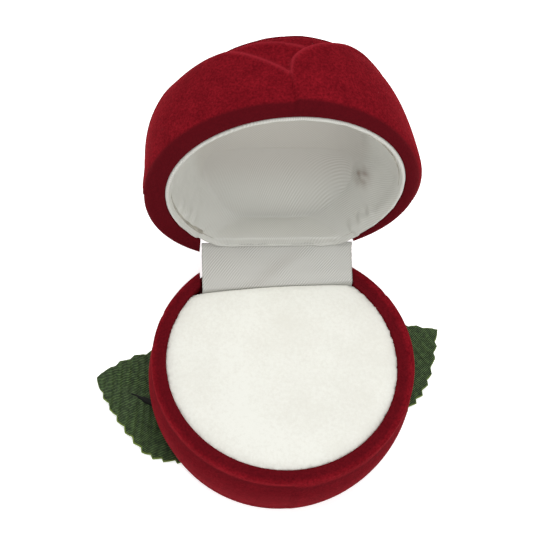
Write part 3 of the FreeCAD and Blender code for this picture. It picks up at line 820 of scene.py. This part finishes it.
    def petals(self, angle: float, radius: float, height: float) -> tuple[float, float]:
        """Find what the petals do at a point.

        Args:
            angle: Direction round the bud in radians.
            radius: Distance from the axis in millimetres.
            height: Distance from the parting plane in millimetres.

        Returns:
            The outward offset in millimetres and the painted highlight of an edge, 0 to 1.
        """
        wide, reach = 0.6, max(radius, 6.0)
        under_outer = self.outer.below(angle, reach, height)
        under_inner = self.inner.below(angle, reach, height)
        on_outer = smooth(-wide / 2, wide / 2, under_outer)
        on_inner = smooth(-wide / 2, wide / 2, under_inner)
        heart = -self.layer * math.exp(-max(-max(under_inner, under_outer), 0.0) / 2.5)
        heart -= 1.1 * self.spiral(angle, radius) * smooth(16.0, 19.5, height)
        middle = self.inner.swell(angle, reach, height) + 0.25 * bell(under_inner, 0.8, 0.9)
        middle -= self.layer * math.exp(-max(-under_outer, 0.0) / 3.0)
        front = self.outer.swell(angle, reach, height) + 0.28 * bell(under_outer, 0.8, 0.9)
        out = heart + (middle - heart) * on_inner
        out += (front - out) * on_outer
        # painted highlight in a band just below each petal's free edge
        tint = 0.6 * bell(under_outer, 0.35, 0.5)
        return out, max(tint, 0.5 * bell(under_inner, 0.35, 0.5) * (1 - on_outer))

    def spiral(self, angle: float, radius: float) -> float:
        """Find how deep the rolled heart of the bud is, a step that winds in to the middle.

        Args:
            angle: Direction round the bud in radians.
            radius: Distance from the axis in millimetres.

        Returns:
            The depth as a share, 0 to 1.
        """
        turn = (radius / 4.4 - angle / (2 * math.pi)) % 1.0
        return smooth(0.0, 0.09, turn) * (1 - turn) ** 0.7 * smooth(0.4, 2.5, radius)


# ---------------------------------------------------------------- pad
@dataclass
class RingPad:
    """The crowned velvet pad that fills the base."""

    radius: float = 21.72
    chord: float = 15.35       # mm from the axis to the middle of the straight back
    skew: float = 3.0          # degrees that the pad sits turned in its bowl
    crown: float = 1.9
    steps: int = 720

    def build(self) -> bpy.types.Object:
        """Return the pad, straight across its back, with soft rounded edges."""
        rim = RIM_Z / MM
        top = through([(0.0, rim + self.crown), (8.0, rim + self.crown - 0.2),
                       (15.0, rim + self.crown - 0.8), (19.4, rim + 0.45), (21.1, rim - 0.15),
                       (21.9, rim - 0.9), (21.72, rim - 2.0)], 0.55)
        section = top + [(self.radius, rim - 4.0), (self.radius - 0.2, rim - 7.6),
                         (self.radius - 0.8, rim - 7.95), (0.0, rim - 7.95)]
        mesh = turned(section, self.steps)
        skew = math.radians(self.skew)
        back = Vector((-math.sin(skew), math.cos(skew), 0))
        for inset in (1.4, 1.0, 0.65, 0.35, 0.15, 0.0):
            whole = list(mesh.verts) + list(mesh.edges) + list(mesh.faces)
            cut = bmesh.ops.bisect_plane(mesh, geom=whole, plane_co=back * (self.chord - inset) * MM,
                                         plane_no=back, clear_outer=inset == 0.0)
        rim_edges = [item for item in cut["geom_cut"] if isinstance(item, bmesh.types.BMEdge)]
        bmesh.ops.contextual_create(mesh, geom=rim_edges)
        for vert in mesh.verts:
            self.nap(vert, self.chord - vert.co.dot(back) / MM)
        return to_object("velvet_pad", mesh)

    def nap(self, vert: bmesh.types.BMVert, inward: float) -> None:
        """Round the back edge, let the top sag a little and let the pile break up the outline.

        Args:
            vert: The point to move.
            inward: Its distance in front of the straight back, in millimetres.
        """
        if vert.co.z < RIM_Z - 1.6 * MM:
            return
        bend = max(1.4 - inward, 0.0) / 1.4
        vert.co.z -= 0.55 * MM * (1 - math.sqrt(max(1 - bend * bend, 0.0)))
        x, y = vert.co.x / MM, vert.co.y / MM
        radius = math.hypot(x, y)
        vert.co.z += 0.13 * MM * noise.noise(Vector((x, y, 0)) * 0.11)
        vert.co.z += 0.05 * MM * noise.noise(Vector((x, y, 3)) * 0.6)
        tuft = noise.noise(Vector((x, y, 7)) * 4.6) + 0.7 * noise.noise(Vector((x, y, 9)) * 1.1)
        push = 0.26 * tuft * smooth(20.2, 21.6, radius)
        vert.co.x *= 1 + push / max(radius, 1.0)
        vert.co.y *= 1 + push / max(radius, 1.0)


# ---------------------------------------------------------------- satin
@dataclass
class LidLining:
    """The satin cup inside the lid: rolled edge, flat back panel with a crease, puckers at its ends."""

    fold_chord: float = 18.55  # mm behind the middle where the edge folds over the strip
    panel_chord: float = 17.1  # mm behind the middle of the flat back panel
    panel_deep: float = 5.6
    slope: float = 3.0         # how fast the ceiling comes forward behind the panel's crease
    steps: int = 400

    def profile(self) -> list[tuple[float, float]]:
        """Return the cup's section above the parting plane, rolled edge first, in millimetres."""
        low = LID_Z / MM
        roll = through([(21.75, low + 1.3), (21.8, low + 0.35), (21.6, low - 0.06), (21.3, low - 0.02),
                        (21.1, low + 0.35), (20.75, low + 1.0)], 0.14)
        cup = through([(20.75, low + 1.0), (19.9, low + 2.9), (18.3, low + 5.4), (16.6, low + 7.9),
                       (15.2, low + 9.5), (13.6, low + 10.3), (11.5, low + 10.6), (6.0, low + 10.8),
                       (0.0, low + 10.8)], 0.36)
        return roll[:-1] + cup

    def build(self) -> bpy.types.Object:
        """Return the lining, open."""
        mesh = turned(self.profile(), self.steps)
        cloth = mesh.loops.layers.uv.new("cloth")
        shade_and_patch = mesh.verts.layers.float.new("shade_and_patch")
        flat = {}
        for vert in mesh.verts:
            x, y, z = vert.co / MM
            radius = max(math.hypot(x, y), 0.01)
            reach = 1 + 0.7 * max(10.8 - (z - LID_Z / MM), 0.0) / max(radius, 10.0)
            flat[vert] = (x * reach, -y * reach)
            self.shape(vert, shade_and_patch)
        for face in mesh.faces:
            for loop in face.loops:
                loop[cloth].uv = flat[loop.vert]
        lining = to_object("satin_lining", mesh, outward=False)
        thicken(lining, 0.22 * MM)
        open_up(lining)
        return lining

    def shape(self, vert: bmesh.types.BMVert, shade_and_patch: bmesh.types.BMLayerItem) -> None:
        """Flatten the cup's back, then push in its puckers and dent, and store its painted shade and brownish
        patch.

        Args:
            vert: The point to move.
            shade_and_patch: Where the painted shade of the ceiling and the brownish patch at the dent are kept.
        """
        x, y, z = vert.co / MM
        height = z - LID_Z / MM
        radius = math.hypot(x, y)
        angle = math.degrees(math.atan2(y, x))
        chord = self.panel_chord + (self.fold_chord - self.panel_chord) * smooth(0.75, 0.15, height)
        if height > self.panel_deep:
            chord -= self.slope * (height - self.panel_deep)
        chord += 0.35 * bell(height, self.panel_deep + 0.1, 0.3)
        if radius > 21.15 and height > 0.2:
            chord += 0.7
        past = y - (chord - 0.35)
        if past > 0:
            y = chord - 0.35 * math.exp(-past / 0.35)
        pull = 0.0
        for centre, width, deep in ((150.0, 2.6, 0.55), (157.0, 2.2, 0.35), (143.0, 2.0, 0.35),
                                    (38.0, 2.6, 0.5), (31.0, 2.2, 0.4), (45.0, 2.0, 0.3), (205.0, 4.0, 0.2)):
            aside = (angle - centre + 180) % 360 - 180
            pull += deep * bell(aside, 0.0, width) * smooth(0.4, 1.6, height) * bell(height, 1.6, 2.0)
        dent = 0.8 * bell(angle, 20.0, 9.0) * bell(height, 7.4, 2.0)
        ripple = 0.14 * noise.noise(Vector((x, y, z)) * 0.30) + 0.05 * noise.noise(Vector((x, y, z)) * 1.1)
        inward = pull + dent + ripple * smooth(0.2, 2.0, height)
        if radius > 1.0:
            x, y = x * (1 - inward / radius), y * (1 - inward / radius)
        wave = Vector((math.cos(math.radians(angle)), math.sin(math.radians(angle)), 0))
        z += 0.16 * noise.noise(wave * 9) * smooth(1.2, 0.2, height)
        oval = 0.35 * math.cos(math.radians(2 * (angle + 48))) * smooth(3.0, 0.5, height)
        if y < self.panel_chord - 2.0:
            x, y = x * (1 + oval / max(radius, 1.0)), y * (1 + oval / max(radius, 1.0))
        # a brownish darker patch at the dent, and painted shade on the ceiling towards the cup's middle
        blotch = 0.7 + 0.6 * noise.noise(Vector((x, y, z)))
        brown_patch = bell(angle, 20.0, 7.0) * bell(height, 7.2, 1.5) * blotch
        vert[shade_and_patch] = max(brown_patch, 0.30 * smooth(7.0, 10.2, height))
        vert.co = Vector((x, y, z)) * MM


@dataclass
class HingeRibbon:
    """The satin strip that hides the hinge, tucked behind the pad and under the lining's fold."""

    half: float = 14.5
    length: float = 12.4
    skew: float = 0.052        # how far the pad's back runs off square, as a slope

    def path(self, share: float) -> tuple[float, float]:
        """Find the strip's line from the pad up to the lid.

        Args:
            share: Share of the strip's length from its end at the pad.

        Returns:
            Y and Z in millimetres.
        """
        rim = RIM_Z / MM
        points = [(15.6, rim - 2.6), (15.6, rim + 0.1), (16.2, rim + 0.75), (18.2, rim + 1.35),
                  (20.8, rim + 2.4), (22.4, rim + 3.4), (23.05, rim + 4.25)]
        line = through(points, 0.2)
        at = min(share, 0.9999) * (len(line) - 1)
        one, two = line[int(at)], line[int(at) + 1]
        part = at - int(at)
        return one[0] + (two[0] - one[0]) * part, one[1] + (two[1] - one[1]) * part

    def build(self) -> bpy.types.Object:
        """Return the strip in the open pose."""
        mesh = bmesh.new()
        bmesh.ops.create_grid(mesh, x_segments=72, y_segments=56, size=1.0)
        cloth = mesh.loops.layers.uv.new("cloth")
        shade_and_patch = mesh.verts.layers.float.new("shade_and_patch")
        flat = {v: (v.co.x * self.half, (v.co.y + 1) / 2 * self.length) for v in mesh.verts}
        for vert, (x, s) in flat.items():
            y, z = self.path(s / self.length)
            y += self.skew * x * smooth(0.75, 0.25, s / self.length)
            side = x / self.half
            # painted shade along a diagonal band beside the crease, and darker towards the left side
            band = bell(x - 1.1 * (s - 6.5), -1.0, 2.4) * bell(s, 7.0, 4.5)
            vert[shade_and_patch] = 0.16 * band + 0.10 * smooth(0.2, -0.9, side) * smooth(1.0, 0.94, abs(side))
            fray = 0.10 * noise.noise(Vector((0, s * 1.3, 4.0 if x > 0 else 9.0))) * side ** 6
            crease = 0.22 * bell(x - 1.4 * (s - 6.5), 0.5, 2.2) * bell(s, 7.0, 4.0)
            wave = 0.14 * noise.noise(Vector((x * 0.14, s * 0.25, 2.0))) - crease + 0.2 * side ** 8
            vert.co = Vector((x + fray, y - 0.45 * wave, z + 0.8 * wave)) * MM
        for face in mesh.faces:
            for loop in face.loops:
                loop[cloth].uv = flat[loop.vert]
        strip = to_object("satin_ribbon", mesh, outward=False)
        thicken(strip, 0.2 * MM)
        return strip


# ---------------------------------------------------------------- leaves
@dataclass
class Leaf:
    """An embossed cloth leaf: toothed edge, a fold down the middle, slanting pleats, and its stalk."""

    name: str
    tip: tuple[float, float]
    heading: float             # degrees, from the tip to the middle of the box
    half: float
    slim: float                # mm that the far half is narrower than the near one
    rake: float                # slope of the pressed pleats across the leaf
    power: float               # above 1 for a long narrow tip
    bend: float                # mm that the middle line bows sideways near the tip
    stalk_from: float          # mm from the tip to the stalk's point
    length: float = 33.0
    tooth: float = 2.3
    lift: float = 1.0          # mm that the tip stands up
    veins: float = 1.7         # mm between embossed pleats

    def width(self, along: float, side: float) -> float:
        """Find the half width on one side.

        Args:
            along: Distance from the tip in millimetres.
            side: Above 0 for the far half, below for the near one.

        Returns:
            The half width in millimetres, teeth and all.
        """
        share = min(max(along / self.length, 0.0), 1.0)
        plain = (self.half - (self.slim if side > 0 else 0.0)) * math.sin(math.pi * share) ** self.power
        beat = (along / self.tooth + 0.25 * noise.noise(Vector((along * 0.3, 2.0 * side, 0)))) % 1.0
        saw = beat / 0.25 if beat < 0.25 else (1 - beat) / 0.75
        return max(plain + 0.72 * (saw - 0.45) * smooth(0.4, 2.5, along), 0.02)

    def emboss(self, s: float, t: float) -> float:
        """Find how strongly a pleat is embossed at a point.

        Args:
            s: Distance from the tip in millimetres.
            t: Distance from the middle line in millimetres.

        Returns:
            A number from 0 to 1.
        """
        line = s + self.rake * t + 0.9 * noise.noise(Vector((s, t, 5)) * 0.16)
        beat = (line / self.veins) % 1.0
        strength = 0.6 + 0.8 * noise.noise(Vector((s, t, 8)) * 0.22)
        return bell(beat, 0.5, 0.2) * min(max(strength, 0.0), 1.0)

    def height(self, s: float, t: float) -> float:
        """Find the cloth's height above the table.

        Args:
            s: Distance from the tip in millimetres.
            t: Distance from the middle line in millimetres.

        Returns:
            The height in millimetres.
        """
        across = abs(t)
        free = smooth(16.0, 12.0, s)
        rise = self.lift * smooth(13.0, 0.0, s) - 0.06 * across * smooth(7.0, 0.0, s)
        fold = 0.30 * smooth(0.0, 3.0, across) + 0.05 * across
        curl = 0.16 * noise.noise(Vector((s, t, 1)) * 0.25) + 0.10 * noise.noise(Vector((s, t, 2)) * 0.7)
        return 1.08 + (rise + fold + curl + 0.28 * self.emboss(s, t)) * free

    def build(self) -> bpy.types.Object:
        """Return the leaf where it lies under the foot."""
        mesh = bmesh.new()
        bmesh.ops.create_grid(mesh, x_segments=250, y_segments=60, size=1.0)
        cloth = mesh.loops.layers.uv.new("cloth")
        vein = mesh.verts.layers.float.new("vein")
        cut = mesh.verts.layers.float.new("cut")
        flat = {}
        for vert in mesh.verts:
            s, share = (vert.co.x + 1) / 2 * self.length, vert.co.y
            t = share * self.width(s, share)
            flat[vert] = (s, t)
            vert[vein] = self.emboss(s, t)
            vert[cut] = smooth(0.22, 0.03, self.width(s, share) * (1 - abs(share)))
            side = t + self.bend * math.sin(math.pi * min(s / 15.0, 1.0))
            vert.co = Vector((s, side, self.height(s, t))) * MM
        for face in mesh.faces:
            for loop in face.loops:
                loop[cloth].uv = flat[loop.vert]
        leaf = to_object(f"cloth_leaf_{self.name}", mesh, outward=False)
        thicken(leaf, 0.35 * MM)
        self.settle(leaf)
        return leaf

    def stalk(self) -> bpy.types.Object:
        """Return the stalk, a wire that tapers to a point on the cloth."""
        run = 36.0 - self.stalk_from
        mesh = bmesh.new()
        bmesh.ops.create_cone(mesh, cap_ends=True, segments=20, radius1=0.12 * MM, radius2=0.55 * MM,
                              depth=run * MM, matrix=Matrix.Rotation(math.pi / 2, 4, "Y"))
        sides = [e for e in mesh.edges if abs(e.verts[0].co.x - e.verts[1].co.x) > 0.5 * run * MM]
        bmesh.ops.subdivide_edges(mesh, edges=sides, cuts=40, use_grid_fill=False)
        for vert in mesh.verts:
            s = vert.co.x / MM + run / 2 + self.stalk_from
            thick = 0.14 + 0.46 * smooth(self.stalk_from, self.stalk_from + 4.0, s)
            shape = thick / max(math.hypot(vert.co.y, vert.co.z) / MM, 0.01)
            base = self.height(s, 0.0) + 0.12 + thick * 0.7
            bow = self.bend * math.sin(math.pi * min(s / 15.0, 1.0)) + 0.25 * math.sin(s * 0.5)
            side = vert.co.y / MM * shape + bow - 1.2 * smooth(28.0, 16.0, s)
            vert.co = Vector((s, side, min(base + vert.co.z / MM * shape, 2.42))) * MM
        stalk = to_object(f"wire_stalk_{self.name}", mesh)
        self.settle(stalk)
        return stalk

    def settle(self, piece: bpy.types.Object) -> None:
        """Turn a piece drawn along +X to where the leaf lies.

        Args:
            piece: The object whose mesh is moved.
        """
        place = Matrix.Translation((self.tip[0] * MM, self.tip[1] * MM, 0))
        piece.data.transform(place @ Matrix.Rotation(math.radians(self.heading), 4, "Z"))


# ---------------------------------------------------------------- studio
@dataclass
class Studio:
    """Camera, floor and soft lights."""

    elevation: float = 64.0
    azimuth: float = -14.0
    roll: float = 11.6
    distance: float = 0.300
    sensor: float = 36.0       # mm
    lens: float = 104.275      # mm
    aim: tuple[float, float] = (-0.00445, -0.05326)    # slopes right and down from the rim's middle

    def camera(self) -> None:
        """Place the camera."""
        a, e, s = (math.radians(v) for v in (self.azimuth, self.elevation, self.roll))
        back = Vector((math.sin(a) * math.cos(e), -math.cos(a) * math.cos(e), math.sin(e)))
        right = Vector((math.cos(a), math.sin(a), 0))
        up = back.cross(right)
        right2 = right * math.cos(s) + up * math.sin(s)
        up2 = up * math.cos(s) - right * math.sin(s)
        look = (-back + right2 * self.aim[0] - up2 * self.aim[1]).normalized()
        side = look.cross(up2).normalized()
        turn = Matrix((side, side.cross(look), -look)).transposed()
        data = bpy.data.cameras.new("camera")
        data.sensor_width, data.lens = self.sensor, self.lens
        data.clip_start = 0.01
        camera = bpy.data.objects.new("camera", data)
        place = Matrix.Translation(Vector((0, 0, RIM_Z)) + back * self.distance)
        camera.matrix_world = place @ turn.to_4x4()
        bpy.context.collection.objects.link(camera)
        bpy.context.scene.camera = camera

    def light(self, name: str, at: tuple[float, float, float], size: float, power: float) -> None:
        """Add a square soft light that points at the ring box.

        Args:
            name: The light's name.
            at: Where it stands, in metres.
            size: Length of its side in metres.
            power: Power in watts.
        """
        data = bpy.data.lights.new(name, "AREA")
        data.size, data.energy = size, power
        lamp = bpy.data.objects.new(name, data)
        lamp.location = at
        lamp.rotation_euler = (Vector((0, 0.01, 0.02)) - Vector(at)).to_track_quat("-Z", "Y").to_euler()
        bpy.context.collection.objects.link(lamp)

    def build(self) -> None:
        """Set the whole studio."""
        self.camera()
        scene = bpy.context.scene
        scene.view_settings.view_transform = "Standard"
        world = bpy.data.worlds.new("studio")
        scene.world = world
        world.use_nodes = True
        world.node_tree.nodes["Background"].inputs[0].default_value = (1, 1, 1, 1)
        world.node_tree.nodes["Background"].inputs[1].default_value = 0.25
        self.light("overhead", (-0.05, 0.05, 0.70), 0.40, 3.1)
        self.light("front_top", (0.12, -0.42, 0.55), 0.30, 1.2)
        self.light("left", (-0.50, -0.05, 0.35), 0.40, 0.4)
        self.light("right", (0.50, -0.30, 0.22), 0.25, 0.5)
        self.light("back", (0.10, 0.60, 0.25), 0.30, 0.6)
        mesh = bmesh.new()
        bmesh.ops.create_grid(mesh, x_segments=8, y_segments=8, size=1.5)
        floor = to_object("floor", mesh, outward=False)
        dress(floor, Paper().make())


# ---------------------------------------------------------------- assembly
@dataclass
class RingBox:
    """The whole box: builds each piece, dresses it and hides the nodes that it replaces."""

    flock: bpy.types.Material = field(default_factory=lambda: Flock().make())
    satin: bpy.types.Material = field(default_factory=lambda: Satin().make())
    # the lining's copy of the satin, lighter and with softer twill lines; its lighter tone is painted light for
    # the shaded cup
    stretched_lit: bpy.types.Material = field(default_factory=lambda: Satin(
        "acetate_satin_white_stretched", base="CCCCC6", shade="B8B7AF").make())
    velvet: bpy.types.Material = field(default_factory=lambda: Velvet().make())

    def settle(self, piece: bpy.types.Object, material: bpy.types.Material, body: str, slot: str,
               *nodes: str) -> bpy.types.Object:
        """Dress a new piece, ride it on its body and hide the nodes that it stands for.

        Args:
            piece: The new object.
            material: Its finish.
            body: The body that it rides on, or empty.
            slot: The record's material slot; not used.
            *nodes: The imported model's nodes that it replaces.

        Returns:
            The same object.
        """
        dress(piece, material)
        if body:
            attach(piece, body)
        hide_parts(*nodes)
        LOG.info("%s: %d faces", piece.name, len(piece.data.polygons))
        return piece

    def shells(self) -> None:
        """Build the two flocked halves."""
        self.settle(BaseShell().build(), self.flock, "base", "red_flock", "base_shell")
        self.settle(LidBud().build(), self.flock, "lid", "red_flock", "lid_shell")

    def soft_goods(self) -> None:
        """Build the pad, the lining and the ribbon."""
        pad = self.settle(RingPad().build(), self.velvet, "base", "white_velvet", "pad_cover")
        lining = self.settle(LidLining().build(), self.stretched_lit, "lid", "white_satin", "lid_lining")
        ribbon = self.settle(HingeRibbon().build(), self.satin, "", "white_satin", "hinge_ribbon")
        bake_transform(ribbon, "base", "lid", start=(0, 0.0158, RIM_Z - 0.0004), end=(0, 0.0229, RIM_Z + 0.0037))

    def leaves(self) -> None:
        """Build the two leaves."""
        cloth = LeafCloth().make()
        coat = Stock.WIRE.value.make()
        for leaf in (Leaf("left", (-34.9, 6.4), -24.0, half=11.0, slim=-0.3, rake=0.36, power=0.80,
                          bend=1.0, stalk_from=7.6),
                     Leaf("right", (34.8, 15.8), 215.5, half=12.1, slim=2.6, rake=-0.1, power=1.08,
                          bend=0.3, stalk_from=15.0)):
            blade = self.settle(leaf.build(), cloth, "base", "green_fabric", f"leaf_{leaf.name}")
            self.settle(leaf.stalk(), coat, "base", "dark_wire", f"leaf_wire_{leaf.name}")

    def hardware(self) -> None:
        """Dress the pieces that keep their own shape."""
        stock = {
            Stock.STEEL: ("hinge_base_leaf", "hinge_lid_leaf", "hinge_pin", "hinge_spring",
                          "hinge_rivets_base", "hinge_rivets_lid"),
            Stock.CARD: ("pad_card", "lid_liner_card"),
            Stock.FOOT: ("foot_disc",),
            Stock.FOAM: ("pad_foam",),
        }
        for kind, nodes in stock.items():
            material = kind.value.make()
            for node in nodes:
                dress(frame["nodes"][node], material)
                LOG.info("%s: %s", node, kind.value.name)


def main() -> None:
    """Build the studio and the box."""
    logging.basicConfig(level=logging.INFO, format="%(message)s")
    Studio().build()
    box = RingBox()
    box.shells()
    box.soft_goods()
    box.leaves()
    box.hardware()


if __name__ == "__main__":
    main()
